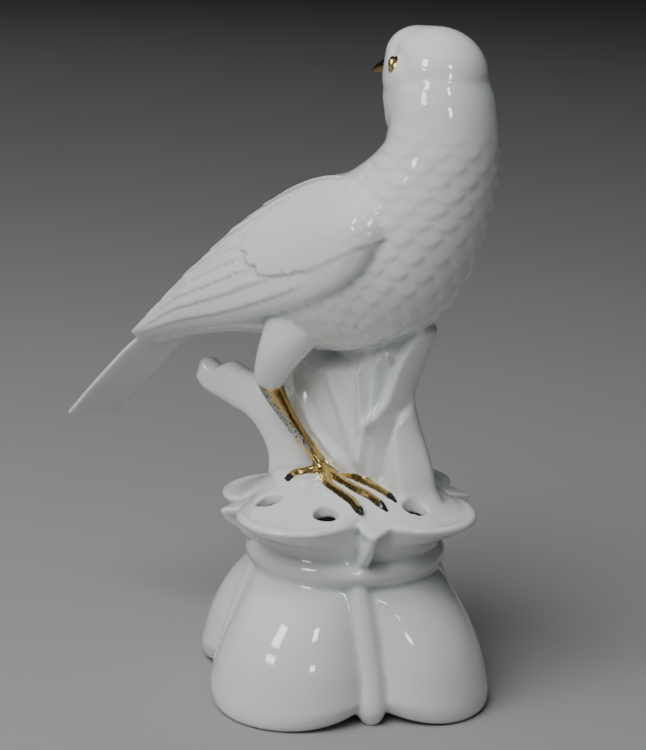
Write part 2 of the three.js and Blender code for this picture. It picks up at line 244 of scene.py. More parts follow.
# %% [markdown]
# The base is a bell of four lobes, a ring, a hollow collar and a lobed disc. Its plan at every
# height is four circles set off from the axis, so one formula and a short profile give it all.
# The disc is domed: it climbs from a lip at the rim past the stem holes to the leaves.

# %% Base: bell, ring, collar and disc
LOBES = 4
WALL = 3.6
BELL_RADIUS = 51.4
RING_RADIUS = 28.6
RING_THICK = 3.4
RING_HEIGHT = 45
DISC_RADIUS = 45
DISC_RIM = 60.2
DOME_TOP = 68
BELL_LOBE = 0.5
FOOT_LOBE = 0.56
DISC_LOBE = 0.55
RIM_WAVE = 0.9
FOOT_RISE = 3
STEM_HOLE = 7.8
STEM_CIRCLE = 29.4
STEM_LEVEL = 64.3
HOLE_REACH = 6
POCKET_SHARE = 0.86
POCKET_DOWN = 2.9
POCKET_HALF = (6, 6, 3.2)
STEM_ANGLES = [-10, -68, -111, 117, 92]


def lobed_radius(angle, radius, share):
    step = 2 * math.pi / LOBES
    inside = angle - np.round(angle / step) * step
    centre = share * radius
    squared = (radius - centre) ** 2 - (centre * np.sin(inside)) ** 2
    return centre * np.cos(inside) + np.sqrt(squared)


def lobed_stack(levels, inset=0.0, sides=240, steps=160):
    levels = curve(levels, steps)
    angle = np.linspace(0, 2 * math.pi, sides, endpoint=False)
    reach = lobed_radius(angle[None, :], levels[:, 1:2], levels[:, 2:3]) - inset
    height = levels[:, :1]
    at_disc = smooth_step(height, 55, 58.5) * smooth_step(levels[:, 1:2], 26, 38)
    at_foot = 1 - smooth_step(height, 2, 12)
    valley = (1 - np.cos(LOBES * angle)) / 2
    reach = np.maximum(reach, 0.5)
    lift = at_disc * RIM_WAVE * valley + at_foot * FOOT_RISE * valley ** 2
    return skin(np.stack([reach * np.cos(angle), reach * np.sin(angle), height + lift], 2))


def ring_level(degrees):
    tilt = math.radians(degrees)
    return (RING_HEIGHT + RING_THICK * math.sin(tilt), RING_RADIUS + RING_THICK * math.cos(tilt), 0)


BELL_LEVELS = [
    (10, BELL_RADIUS - 1.2, BELL_LOBE),
    (17, BELL_RADIUS - 3.2, BELL_LOBE),
    (24, BELL_RADIUS - 6.4, BELL_LOBE),
    (30, BELL_RADIUS - 10.2, 0.47),
    (36, BELL_RADIUS - 15.4, 0.38),
]
BASE_LEVELS = [
    (0, BELL_RADIUS - 1.7, FOOT_LOBE),
    (0.5, BELL_RADIUS - 0.6, FOOT_LOBE - 0.006),
    (1.4, BELL_RADIUS - 0.1, FOOT_LOBE - 0.02),
    (3, BELL_RADIUS, BELL_LOBE + 0.02),
    (5.5, BELL_RADIUS - 0.2, BELL_LOBE),
    *BELL_LEVELS,
    (RING_HEIGHT - 3.8, RING_RADIUS + 1.4, 0.1),
    *[ring_level(degrees) for degrees in (-50, -25, 0, 25, 50)],
    (RING_HEIGHT + 3.8, RING_RADIUS + 1, 0.1),
    (53, RING_RADIUS + 4.2, 0.3),
    (56, DISC_RADIUS - 6, DISC_LOBE - 0.06),
    (DISC_RIM - 1.9, DISC_RADIUS - 1.8, DISC_LOBE),
    (DISC_RIM - 0.9, DISC_RADIUS - 0.4, DISC_LOBE),
    (DISC_RIM + 0.2, DISC_RADIUS - 0.1, DISC_LOBE),
    (DISC_RIM + 1, DISC_RADIUS - 0.8, DISC_LOBE),
    (DISC_RIM + 1.35, DISC_RADIUS - 2, DISC_LOBE),
    (DISC_RIM + 1.05, DISC_RADIUS - 3.4, DISC_LOBE),
    (DISC_RIM + 1.3, DISC_RADIUS - 5, DISC_LOBE - 0.03),
    (DISC_RIM + 2.2, DISC_RADIUS - 9, 0.4),
    (STEM_LEVEL, STEM_CIRCLE + 1, 0.25),
    (66.4, 24, 0.1),
    (DOME_TOP, 16, 0),
    (DOME_TOP + 0.8, 8, 0),
]
HOLLOW_LEVELS = [
    (4.2, BELL_RADIUS - 1.2, BELL_LOBE),
    *BELL_LEVELS,
    (RING_HEIGHT - 3, RING_RADIUS + 1, 0.1),
    (RING_HEIGHT + 5, RING_RADIUS + 1, 0.1),
    (57, DISC_RADIUS - 6.4, DISC_LOBE),
    (61.2, RING_RADIUS + 3, 0.3),
    (DOME_TOP - WALL, 16, 0),
]
lobed_stack(BASE_LEVELS)
print("base:", LOBES, "lobes,", 2 * BELL_RADIUS, "mm wide,", DISC_RIM, "mm to the rim")

# %% [markdown]
# A rib runs down each valley between two lobes and ends in a rounded prow, and a tongue curls
# down over the collar above it. Both come four times round the axis, which is a job for
# Geometry Nodes: one tree takes a form, turns copies about the axis and makes them real.

# %% Ribs and tongues, laid round the axis
RIB_FOOT_RADIUS = 41.6
RIB_HALF = 3.3
RIB_WIDE = 4.5
RIB_FOOT_HALF = 4.8
TONGUE_RADIUS = 41
TONGUE_HALF = 5.4
TONGUE_LEAN = 2.4


def turned_tree():
    """Copies of a form, laid at even turns about the vertical axis."""
    tree = bpy.data.node_groups.new("turned_about_the_axis", "GeometryNodeTree")
    tree.is_modifier = True
    face = tree.interface
    face.new_socket("Form", in_out="INPUT", socket_type="NodeSocketGeometry")
    count = face.new_socket("Copies", in_out="INPUT", socket_type="NodeSocketInt")
    first = face.new_socket("First turn", in_out="INPUT", socket_type="NodeSocketFloat")
    clay = face.new_socket("Clay", in_out="INPUT", socket_type="NodeSocketMaterial")
    face.new_socket("Form", in_out="OUTPUT", socket_type="NodeSocketGeometry")
    node, link = tree.nodes.new, tree.links.new
    given, made = node("NodeGroupInput"), node("NodeGroupOutput")
    line, index = node("GeometryNodeMeshLine"), node("GeometryNodeInputIndex")
    line.inputs["Offset"].default_value = (0, 0, 0)
    step = node("ShaderNodeMath")
    step.operation = "DIVIDE"
    step.inputs[0].default_value = 2 * math.pi
    turn = node("ShaderNodeMath")
    turn.operation = "MULTIPLY_ADD"
    whole = node("ShaderNodeCombineXYZ")
    place = node("GeometryNodeInstanceOnPoints")
    real, paint = node("GeometryNodeRealizeInstances"), node("GeometryNodeSetMaterial")
    link(given.outputs["Copies"], line.inputs["Count"])
    link(given.outputs["Copies"], step.inputs[1])
    link(index.outputs[0], turn.inputs[0])
    link(step.outputs[0], turn.inputs[1])
    link(given.outputs["First turn"], turn.inputs[2])
    link(turn.outputs[0], whole.inputs["Z"])
    link(line.outputs[0], place.inputs["Points"])
    link(given.outputs["Form"], place.inputs["Instance"])
    link(whole.outputs[0], place.inputs["Rotation"])
    link(place.outputs[0], real.inputs[0])
    link(real.outputs[0], paint.inputs["Geometry"])
    link(given.outputs["Clay"], paint.inputs["Material"])
    link(paint.outputs[0], made.inputs[0])
    named = (("Copies", count), ("First turn", first), ("Clay", clay))
    return tree, {name: socket.identifier for name, socket in named}


def baked(made, tree, values):
    """Runs a Geometry Nodes tree on an object and keeps the result as a plain mesh."""
    modifier = made.modifiers.new("laid", "NODES")
    modifier.node_group = tree
    for identifier, value in values.items():
        modifier[identifier] = value
    return applied(made)


clay = bpy.data.materials.new("clay")
turned, turned_inputs = turned_tree()


def laid_round(name, index):
    """Four turned copies of one of the forms."""
    return baked(mesh_object(name, *forms[index]), turned, {
        turned_inputs["Copies"]: LOBES,
        turned_inputs["First turn"]: math.pi / LOBES,
        turned_inputs["Clay"]: clay,
    })


rib_foot = RIB_FOOT_RADIUS - RIB_FOOT_HALF
rib = laid_round("ribs", loft([
    ((RING_RADIUS - 1, 0, RING_HEIGHT - 2), RIB_HALF - 0.5, RIB_HALF - 0.3),
    ((RING_RADIUS + 2.4, 0, 32), RIB_HALF, RIB_WIDE - 0.5),
    ((rib_foot - 1.4, 0, 14), RIB_HALF + 0.8, RIB_WIDE),
    ((rib_foot, 0, 5), RIB_FOOT_HALF, RIB_FOOT_HALF),
    ((rib_foot - 0.4, 0, 1.8), RIB_FOOT_HALF - 1.1, RIB_FOOT_HALF - 1.1),
    ((rib_foot - 1.8, 0, -0.6), RIB_HALF - 1.4, RIB_HALF - 1.6),
]))
corner_radius = TONGUE_RADIUS - 6.4
nose_radius = TONGUE_RADIUS - 0.4
lip = laid_round("tongue_lips", hull([
    (corner_radius, TONGUE_LEAN + TONGUE_HALF, DISC_RIM + 1.6),
    (corner_radius, TONGUE_LEAN - TONGUE_HALF, DISC_RIM + 1.6),
    (corner_radius, TONGUE_LEAN + TONGUE_HALF - 1, DISC_RIM - 1.2),
    (corner_radius, TONGUE_LEAN - TONGUE_HALF + 1, DISC_RIM - 1.2),
    (nose_radius, 2.2, DISC_RIM + 0.4),
    (nose_radius, -0.4, DISC_RIM + 0.4),
    (nose_radius - 0.4, 0.9, DISC_RIM - 2),
    (corner_radius - 2, 9.4, DISC_RIM + 1.5),
    (TONGUE_RADIUS - 15, 0, STEM_LEVEL - 0.4),
    (TONGUE_RADIUS - 15, 0, DISC_RIM - 3),
]))
keel = laid_round("tongue_keels", hull([
    (nose_radius - 0.6, 0.9 + side, DISC_RIM - 1) for side in (-1.1, 1.1)
] + [
    (nose_radius - 2.2, 0.5 + side, DISC_RIM - 5) for side in (-1.2, 1.2)
] + [
    (RING_RADIUS + RING_THICK - 0.2, side, RING_HEIGHT + 4) for side in (-1.6, 1.6)
] + [
    (RING_RADIUS - 4, side, height)
    for side in (-2.6, 2.6) for height in (RING_HEIGHT + 2, DISC_RIM)
]))
del forms[-3:]
print("ribs and tongues:", sum(len(made.data.polygons) for made in (rib, lip, keel)), "faces")

# %% [markdown]
# The bird is a few soft masses: one sweep from rump to throat, a skull with its forehead, and
# cheeks, throat and nape under one skin. The head looks back over the left shoulder, so it is
# placed in a frame of its own: ahead of it, aside and above.

# %% Body and head
BODY = [
    ((-78, 0, 101), 2, 5),
    ((-66, 0, 109), 5.5, 9),
    ((-48, 0, 119), 11.5, 14),
    ((-27, 0, 128.5), 20, 19.5),
    ((-6, 0, 134), 26, 23.5),
    ((10.5, 0, 142.5), 27, 24),
    ((22.4, 0, 156.5), 22.4, 21.6),
    ((29, 0, 171), 17.8, 18.6),
    ((29.8, 0, 182), 16.2, 16.6),
    ((28, 0, 193), 14.6, 14.8),
    ((26.5, 0, 201), 10, 10),
]
HEAD_AT = (25.6, 0.9, 195.5)
HEAD_HALF = (17, 14.6, 15)
HEAD_TURN = math.radians(166.7)
BEAK_TIP = 27.5
BEAK_HALF = 3
EYE_HALF = (1.6, 1.4, 2.9)
EYE_PLACE = (4.5, 13.4, 4.3)


def in_head(ahead, aside, above):
    return (
        HEAD_AT[0] + ahead * math.cos(HEAD_TURN) - aside * math.sin(HEAD_TURN),
        HEAD_AT[1] + ahead * math.sin(HEAD_TURN) + aside * math.cos(HEAD_TURN),
        HEAD_AT[2] + above,
    )


loft(BODY, sides=96, steps=160)
crown = ball_points(HEAD_AT, HEAD_HALF, HEAD_TURN)
brow = ball_points(in_head(7.5, 0, 6), (9.9, 9.9, 8.8), HEAD_TURN)
hull(np.vstack([crown.reshape(-1, 3), brow.reshape(-1, 3)]))
cheeks = ball_points(in_head(5, 0, -5.6), (12, 12, 10), HEAD_TURN)
throat = ball_points(in_head(4, 0, -11), (11.7, 11.9, 11), HEAD_TURN)
nape = ball_points(in_head(-4.2, 0, -10), (15.4, 16, 16), HEAD_TURN)
hull(np.vstack([part.reshape(-1, 3) for part in (cheeks, throat, nape)]))
head_side = (-math.sin(HEAD_TURN), math.cos(HEAD_TURN), 0)
BEAK = [
    (in_head(13, 0, 2.8), BEAK_HALF + 0.3, BEAK_HALF + 0.3),
    (in_head(18, 0, 2.4), BEAK_HALF - 0.4, BEAK_HALF - 0.4),
    (in_head(BEAK_TIP - 3.5, 0, 1), 1.6, 1.4),
    (in_head(BEAK_TIP, 0, -0.4), 0.4, 0.4),
]
loft(BEAK, side=head_side)
eyes = [in_head(EYE_PLACE[0], hand * EYE_PLACE[1], EYE_PLACE[2]) for hand in (1, -1)]
for eye in eyes:
    ball(eye, EYE_HALF, HEAD_TURN)
print("bird: head top at", HEAD_AT[2] + HEAD_HALF[2], "mm")

# %% [markdown]
# A wing is a blade between a lower and an upper edge. The tail is a thinner one, and it slips
# under the wing tips. Both wings are the same form, mirrored across the middle of the bird.

# %% Wings and tail
WING_LOWER = [
    (25, 19, 149), (18, 24.4, 139.5), (0, 23.6, 128),
    (-32, 17.6, 116), (-60, 12, 108.5), (-81, 8, 101.8),
]
WING_UPPER = [
    (26, 17, 155), (15, 13, 163), (-8, 5, 163.4),
    (-34.4, 2.5, 149.8), (-58, 1.5, 125.6), (-81.5, 7, 102.6),
]
TAIL_HALF = 10
PATCH_ACROSS = [0.18, 0.20, 0.25, 0.33, 0.42, 0.52, 0.61, 0.70, 0.78, 0.85, 0.90, 0.95, 1.0]
PATCH_ALONG = [0.38, 0.44, 0.485, 0.51, 0.53, 0.545, 0.55, 0.53, 0.47, 0.40, 0.33, 0.26, 0.20]
LONG_FEATHERS = 8
TIP_NOTCH = 1.1
PILLOW_LEVEL = 0.8


def pillows(down, beside):
    """Rows of overlapping feathers. Each is a soft dome that rises towards its round tip."""
    layers = []
    for shift in (0, 0.5):
        across = 2 * ((beside + shift) % 1) - 1
        along = ((down + 0.55 * across ** 2) / 2 + shift) % 1
        layers.append((0.4 + 0.9 * along) * (1 - smooth_step(along, 0.6, 1)) - 0.22 * across ** 2)
    return np.maximum(*layers)


def wing_relief(s, t):
    """The covert patch stands proud, and the long feathers behind it overlap like slats."""
    scallop = 0.016 * np.abs(np.sin(math.pi * (s - 0.19) * 7.5)) * smooth_step(s, 0.18, 0.22)
    border = np.interp(s, PATCH_ACROSS, PATCH_ALONG) + scallop
    has_border = smooth_step(s, 0.14, 0.2)
    inside = smooth_step(border - t, -0.003, 0.004) * has_border
    near_border = np.exp(-np.maximum(0, border - t) / 0.13)
    patch = (0.25 + 0.75 * near_border) * inside
    turn = s * LONG_FEATHERS + 0.15 + 0.5 * t
    slat = (1 - turn % 1) * smooth_step(turn % 1, 0, 0.14)
    behind = smooth_step(t, border - 0.01, border + 0.05) * has_border
    low_row = smooth_step(t, 0.36, 0.46) * (1 - has_border)
    slats = 0.7 * slat * np.maximum(behind, low_row) * (1 - smooth_step(t, 0.88, 0.98))
    small = 0.4 * (pillows(t * 20, s * 7) - PILLOW_LEVEL) * smooth_step(t, 0.02, 0.1)
    small = small * (1 - smooth_step(t, 0.26, 0.4))
    edges = smooth_step(s, 0.02, 0.08) * smooth_step(1 - s, 0, 0.06)
    return (patch + slats + small) * edges


def wing_notch(t):
    """The tips of the long feathers step down along the upper edge."""
    step = 1 - ((t - 0.5) * 14) % 1
    return TIP_NOTCH * step * smooth_step(t, 0.5, 0.56) * (1 - smooth_step(t, 0.9, 0.96))


wing_skins = [
    blade(
        [(x, hand * y, z) for x, y, z in WING_LOWER],
        [(x, hand * y, z) for x, y, z in WING_UPPER],
        (0, hand, 0.4), 6, 6, across=120, along=260, taper=lambda t: min(1, 0.2 + 4 * t),
        notch=wing_notch,
    )
    for hand in (1, -1)
]
blade(
    [(-62, -7, 112), (-80, -8, 102.6), (-96, -9.2, 87), (-110.5, -TAIL_HALF, 71)],
    [(-62, 7, 108), (-75, 8, 98), (-90, 9, 83), (-104, TAIL_HALF, 70)],
    (-1, 0, 1), 0.8, 3.2,
)
print("wings and tail:", len(forms), "forms so far")

# %% [markdown]
# The right leg shows in front of the leaves. Its white thigh ends in a hard edge, and the gilt
# shank comes out of it, runs down to the ankle and opens into three toes and a hind toe.

# %% Legs and toes
ANKLE = (-8.5, 5, 73.2)
RIGHT_TOES = [
    [
        (-5.6, 5.6, 70.4), (1.6, 12.8, 69), (8.9, 16.2, 68.1),
        (14.5, 18.3, 67.2), (18.4, 20.4, 65.9), (21.4, 22.3, 64.8),
    ],
    [
        (-5.2, 4.6, 70.6), (3.4, 8.4, 69.5), (11.6, 11.4, 68.7),
        (16.8, 12.1, 67.8), (21.4, 13.5, 66.7), (24.7, 14.6, 65.5),
    ],
    [
        (-5, 3.6, 70.6), (1, 3, 69.7), (8.7, 4.6, 69.3),
        (15.9, 5.8, 68.4), (20.3, 6.8, 67.5), (23.8, 8.3, 66.7),
    ],
    [
        (-7.6, 5.2, 70.4), (-11, 7.3, 69.4), (-13.5, 9.9, 68.9),
        (-13.8, 12.1, 68.2), (-12.4, 14.9, 67.4),
    ],
]
LEFT_TOES = [
    [(-4.4, 4.8, 71.2), (1, 12, 69.4), (6, 18, 65.3)],
    [(-3.4, 4.4, 71.4), (3.6, 9, 69.6), (9.5, 14, 66.2)],
    [(-2.8, 3.8, 71.6), (3.4, 5.4, 70), (8, 7, 67.8)],
    [(-8, 5, 71.4), (-14, 6.4, 69.6), (-18, 8, 66.1)],
]
LEFT_LEG_ASIDE = 9
GILT_TOP = 97
TOE_STEPS = 40
CLAW_START = 33
gilt_lines = []
claw_tips = []


def leg(hand, aside, toes):
    """Thigh, shank and toes. The shank and the toes are also kept as lines for the gilding."""
    def place(x, y, z):
        return (x, hand * (y + aside), z)

    loft([
        (place(-8, 10.4, 126), 11, 7),
        (place(-12.8, 13.4, 117), 9.6, 6.8),
        (place(-17.6, 14.2, 108.2), 7.3, 6.2),
        (place(-21.2, 13.4, 101.4), 5.7, 5.2),
        (place(-22.8, 12.8, GILT_TOP + 0.4), 4.4, 4.3),
    ])
    shank = [
        (place(-23.6, 13, 101), 3.6, 3.6),
        (place(-22.4, 12.4, 97), 3.8, 3.6),
        (place(-16.4, 9, 85.3), 2.4, 2.4),
        (place(*ANKLE), 1.8, 2),
        (place(-5.4, 4.8, 70.2), 1.6, 2.4),
    ]
    loft(shank)
    gilt_lines.append(shank)
    for points in toes:
        middle = curve([place(*point) for point in points], TOE_STEPS)
        share = np.linspace(0, 1, TOE_STEPS)
        knuckles = 0.12 * np.abs(np.sin(math.pi * 3 * share)) * smooth_step(share, 0.1, 0.3)
        radius = (1.3 - 0.35 * share + knuckles) * (1 - 0.7 * smooth_step(share, 0.8, 1))
        toe = [(tuple(at), value, value) for at, value in zip(middle, radius)]
        loft(toe, sides=24, steps=60)
        gilt_lines.append(toe[:CLAW_START + 1])
        claw_tips.append(toe[CLAW_START:])


leg(-1, 0, RIGHT_TOES)
leg(1, LEFT_LEG_ASIDE, LEFT_TOES)
print("legs:", len(claw_tips), "toes")

# %% [markdown]
# The leaves carry the bird's belly, because soft clay would sag without them. In the mould they
# are one standing wall with folds, so they are made as one curtain: rings of points at rising
# heights, pushed out along the crest of each leaf.

# %% Curtain of leaves
LEAF_MIDDLE = 4.6
FOLD_HEIGHT = 1.25
CURTAIN = [
    (58, -37, 35, 14),
    (64, -33, 32, 11.5),
    (68, -30.5, 29.6, 9.6),
    (74, -29, 28.2, 9),
    (80, -28, 26, 8.6),
    (88, -26.5, 22.6, 8.4),
    (96, -25, 20.4, 8.2),
    (104, -23, 22.6, 8),
    (112, -20, 25.6, 7.4),
    (118.6, -14, 27.8, 5.4),
    (122, -10, 26, 4),
]
# A fold has the heights and places of its crest, its height, its half width, and the heights
# between which it rises and fades.
FOLDS = [
    # rear leaf
    ([(70, 2), (75.8, -2), (82.4, -10), (95.4, -19.5), (103, -25)], 1.7, 4.4, (70, 75, 98, 104)),
    # middle leaf
    ([(72, 8), (78.6, 5.9), (88.2, 1.3), (99.1, -4.2), (106, -7)], 1.7, 3.6, (72, 77, 101, 106)),
    # narrow blade
    ([(70, 8.9), (85, 7.9), (106.6, 5.6)], 2.3, 1.7, (68, 76, 104, 107)),
    # the front leaf's edge and crest
    ([(82, 10), (88.2, 10.4), (105.6, 11.5), (112, 14)], 2.2, 1.9, (80, 88, 108, 113)),
    (
        [(84, 10.4), (87.7, 11.4), (95, 16), (109.7, 21.2), (118.9, 26.5)],
        3, 4.2, (84, 90, 122, 124),
    ),
    # the right leaf's crest
    ([(66, 24), (80.9, 20.5), (96.8, 17.2)], 2.2, 5.2, (60, 62, 90, 98)),
]
VALLEYS = [
    # between the right leaves
    ([(64, 14.4), (70, 13.6), (80, 13.8), (88, 16.4), (96, 20)], 3.4, 2.6, (66, 71, 92, 99)),
    # under the belly
    ([(102, -12), (112, -8)], 6.5, 17, (101.5, 106, 130, 131)),
]
REAR_FOLDS = [
    ([(66, -8), (106, -18)], 2.4, 5, (62, 70, 104, 110)),
    ([(66, 2), (108, -1)], 2.8, 5, (62, 70, 106, 112)),
    ([(66, 12), (108, 15)], 2.4, 5, (62, 70, 106, 112)),
]


def fold_height(folds, x, z):
    """How far the wall stands out at x and z, by the crests that run up it."""
    total = 0 * x
    for crest, height, half, (starts, full, fades, ends) in folds:
        heights, places = zip(*crest)
        away = np.abs(x - np.interp(z, heights, places)) / half
        strength = smooth_step(z, starts, full) * (1 - smooth_step(z, fades, ends))
        total = total + FOLD_HEIGHT * height * strength * np.maximum(0, 1 - away)
    return total


def curtain(levels, steps=110, columns=200):
    """A standing wall. A level is a height, the wall's left and right ends and its half depth."""
    rings = []
    side = (1 - np.cos(np.linspace(0, math.pi, columns))) / 2
    for z, left, right, deep in curve(levels, steps):
        x = left + (right - left) * side
        body_line = deep * np.maximum(0, 1 - np.abs(2 * side - 1) ** 2.6) ** 0.5
        near = LEAF_MIDDLE - body_line - fold_height(FOLDS, x, z) + fold_height(VALLEYS, x, z)
        far = LEAF_MIDDLE + body_line + fold_height(REAR_FOLDS, x, z)
        near_line = np.stack([x, near, np.full(columns, z)], 1)
        far_line = np.stack([x, far, np.full(columns, z)], 1)
        rings.append(np.vstack([near_line, far_line[-2:0:-1]]))
    return skin(rings)


curtain(CURTAIN)
print("curtain of leaves:", len(FOLDS), "crests in front,", len(REAR_FOLDS), "behind")

# %% [markdown]
# The branch stub is a blade between its lower and its upper edge. Its broken end has a small
# hook at the top, and a dent in its near side makes the lip that catches the light.

# %% Branch stub
BRANCH_LOWER = [
    (-31, 62), (-30.6, 69), (-33.6, 75.6), (-38.2, 79.9),
    (-45.5, 82.6), (-53, 85), (-58.6, 87.4), (-61, 90),
]
BRANCH_UPPER = [
    (-12, 66), (-14, 78), (-22, 89), (-31, 93.4), (-38, 95), (-43.2, 95.9),
    (-48, 97.6), (-51, 96.6), (-53.4, 95.2), (-55.4, 96), (-57.4, 97.6),
]
BRANCH_MIDDLE = 1.6
BRANCH_THICK = 12.5
DENT_AT = (-54, BRANCH_MIDDLE - 6.2, 94.4)
DENT_HALF = (4.2, 3.6, 2.9)
blade(
    [(x, BRANCH_MIDDLE, z) for x, z in BRANCH_LOWER],
    [(x, BRANCH_MIDDLE, z) for x, z in BRANCH_UPPER],
    (0, -1, 0), 0.01, BRANCH_THICK, along=160, taper=lambda t: 1 - 0.3 * t,
)
ball((-59, BRANCH_MIDDLE, 93), (2.4, 3.4, 4.3))
print("branch stub ends at x", BRANCH_LOWER[-1][0])

# %% [markdown]
# A drop of glaze has run to the lowest point under the breast and hangs there.

# %% Glaze drop
DROP_AT = (16.4, -5, 110.6)
DROP_HALF = (1.2, 1.2, 1.7)
ball(DROP_AT, DROP_HALF)
print("glaze drop under the breast")

# %% [markdown]
# All the forms are fused by a voxel remesh, which keeps only their common outside. The same
# remesh evens out the cut edges later.

# %% Fuse the forms
VOXEL = 0.52


def joined(name, extra=()):
    """All the forms kept so far, and any further objects, as one object. It empties forms."""
    points, faces, start = [], [], 0
    for form_points, form_faces in forms:
        points.append(form_points)
        faces += [[corner + start for corner in face] for face in form_faces]
        start += len(form_points)
    for other in extra:
        points.append(np.array([v.co for v in other.data.vertices]))
        faces += [[corner + start for corner in p.vertices] for p in other.data.polygons]
        start += len(other.data.vertices)
        bpy.data.objects.remove(other)
    forms.clear()
    return mesh_object(name, np.vstack(points), faces)


def remeshed(made):
    fusing = made.modifiers.new("fused", "REMESH")
    fusing.mode = "VOXEL"
    fusing.voxel_size = VOXEL
    return applied(made)


figure = remeshed(joined("bird_figure", (rib, lip, keel)))
print("fused:", len(figure.data.polygons), "faces")

# %% [markdown]
# A hand-finished casting is never quite even. The photograph shows the rear lobe of the disc
# hanging lower than the others, and the two front ribs standing further apart at the foot.

# %% Bend the base as the maker's hands did
REAR_DROOP = 3.4
FRONT_LIFT = 0.5
RIB_SPREAD = [(0, 4.4), (15, 4), (32, 0.6), (42, -2.2), (48, 0)]


def read_vectors(rows, name):
    values = np.empty(len(rows) * 3, np.float32)
    rows.foreach_get(name, values)
    return values.reshape(-1, 3).astype(float)


def read_points(made):
    return read_vectors(made.data.vertices, "co")


def read_normals(made):
    return read_vectors(made.data.vertex_normals, "vector")


def write_points(made, points):
    made.data.vertices.foreach_set("co", points.astype(np.float32).ravel())
    made.data.update()


points = read_points(figure)
x, y, z = points.T
reach = np.hypot(x, y)
on_disc = smooth_step(z, 52, 58) * (1 - smooth_step(z, 67, 71)) * smooth_step(reach, 22, 36)
points[:, 2] += on_disc * (FRONT_LIFT - REAR_DROOP * smooth_step(-x, 8, 36))
angle = np.arctan2(y, x)
spread = np.interp(z, *zip(*RIB_SPREAD)) * (z < 48) * (1 - np.cos(LOBES * angle)) / 2
turned_by = np.radians(spread) * np.sign(x) * (y < 0)
points[:, 0] = reach * np.cos(angle + turned_by)
points[:, 1] = reach * np.sin(angle + turned_by)
write_points(figure, points)
print("rear lobe lowered by", REAR_DROOP, "mm")

# %% [markdown]
# The hollow of the base opens only through the five stem holes. Under each hole a shallow
# pocket thins the disc and leads into the hollow. The dent in the branch's end and all that
# lies below the table are cut off too.

# %% Cut the hollow and the stem holes
CUT_HALF = 80
lobed_stack(HOLLOW_LEVELS, WALL, steps=80, sides=120)
hollow = joined("hollow")
stem_turns = [math.radians(degrees) for degrees in STEM_ANGLES]
stem_places = [(STEM_CIRCLE * math.cos(turn), STEM_CIRCLE * math.sin(turn)) for turn in stem_turns]
circle = np.linspace(0, 2 * math.pi, 48, endpoint=False)
round_hole = STEM_HOLE / 2 * np.cos(circle), STEM_HOLE / 2 * np.sin(circle)
for x, y in stem_places:
    rim = np.stack([x + round_hole[0], y + round_hole[1]], 1)
    skin([
        np.column_stack([rim, np.full(len(circle), height)])
        for height in (STEM_LEVEL - HOLE_REACH, STEM_LEVEL + HOLE_REACH)
    ])
ball(DENT_AT, DENT_HALF)
holes = joined("holes_and_dent")
for x, y in stem_places:
    ball((POCKET_SHARE * x, POCKET_SHARE * y, STEM_LEVEL - POCKET_DOWN), POCKET_HALF)
pockets = joined("pockets_under_the_holes")
skin([square(CUT_HALF, height) for height in (-9, 0)])
floor_cut = joined("floor_cut")
for cutter in (hollow, pockets, holes, floor_cut):
    cut = figure.modifiers.new("cut", "BOOLEAN")
    cut.operation = "DIFFERENCE"
    cut.solver = "MANIFOLD"
    cut.object = cutter
    applied(figure)
    bpy.data.objects.remove(cutter)
figure = remeshed(figure)
print("hollowed:", len(figure.data.polygons), "faces")

# %% [markdown]
# Glaze runs into hollows and rounds them, and it thins over sharp edges. The mesh is treated in
# the same way: every point looks at its neighbours, and points in a hollow move towards them
# in many small steps, while points on an edge move in only a few. Toes, beak and eyes are kept
# crisp, and the throat's sides are smoothed further, where two forms meet at a crease.

# %% Let the glaze soften the joins
HOLLOW_ROUNDS = 7
EDGE_ROUNDS = 3
THROAT_ROUNDS = 22
THROAT_SIDE = (8.5, 9.5, -14)
LINE_STEPS = 60


def read_edges(made):
    edges = np.empty(len(made.data.edges) * 2, np.int32)
    made.data.edges.foreach_get("vertices", edges)
    return edges.reshape(-1, 2)


def neighbour_mean(values, edges):
    """The mean of each point's neighbours along the mesh's edges."""
    first, second = edges.T
    ends = np.concatenate([first, second])
    starts = np.concatenate([second, first])
    count = np.maximum(np.bincount(ends, minlength=len(values)), 1)
    sums = [np.bincount(ends, values[starts, axis], len(values)) for axis in range(values.shape[1])]
    return np.stack(sums, 1) / count[:, None]


def softened(made, hollow_rounds, edge_rounds, keep):
    """Moves points in hollows for many rounds and points on edges for few."""
    edges = read_edges(made)
    points = read_points(made)
    for round_number in range(hollow_rounds):
        if round_number % 4 == 0:
            write_points(made, points)
            normals = read_normals(made)
        pull = neighbour_mean(points, edges) - points
        rise = (pull * normals).sum(1)
        share = np.where(rise > 0, 0.5, 0.5 if round_number < edge_rounds else 0.0)
        points += pull * (share * keep)[:, None]
    write_points(made, points)


def line_depth(points, line, extra=0.0):
    """How deep each point lies inside a tube along a line: above 0 is inside."""
    at = np.array([place for place, high, wide in line], float)
    radius = np.array([(high + wide) / 2 for place, high, wide in line], float)
    fine = curve(at, LINE_STEPS)
    radius = np.interp(np.linspace(0, 1, LINE_STEPS), np.linspace(0, 1, len(at)), radius)
    low, high = fine.min(0) - 8, fine.max(0) + 8
    close = ((points > low) & (points < high)).all(1)
    depth = np.full(len(points), -5.0)
    away = np.linalg.norm(points[close][:, None] - fine[None], axis=2)
    depth[close] = (radius[None] + extra - away).max(1)
    return depth


def distance_from(points, place):
    return np.linalg.norm(points - place, axis=1)


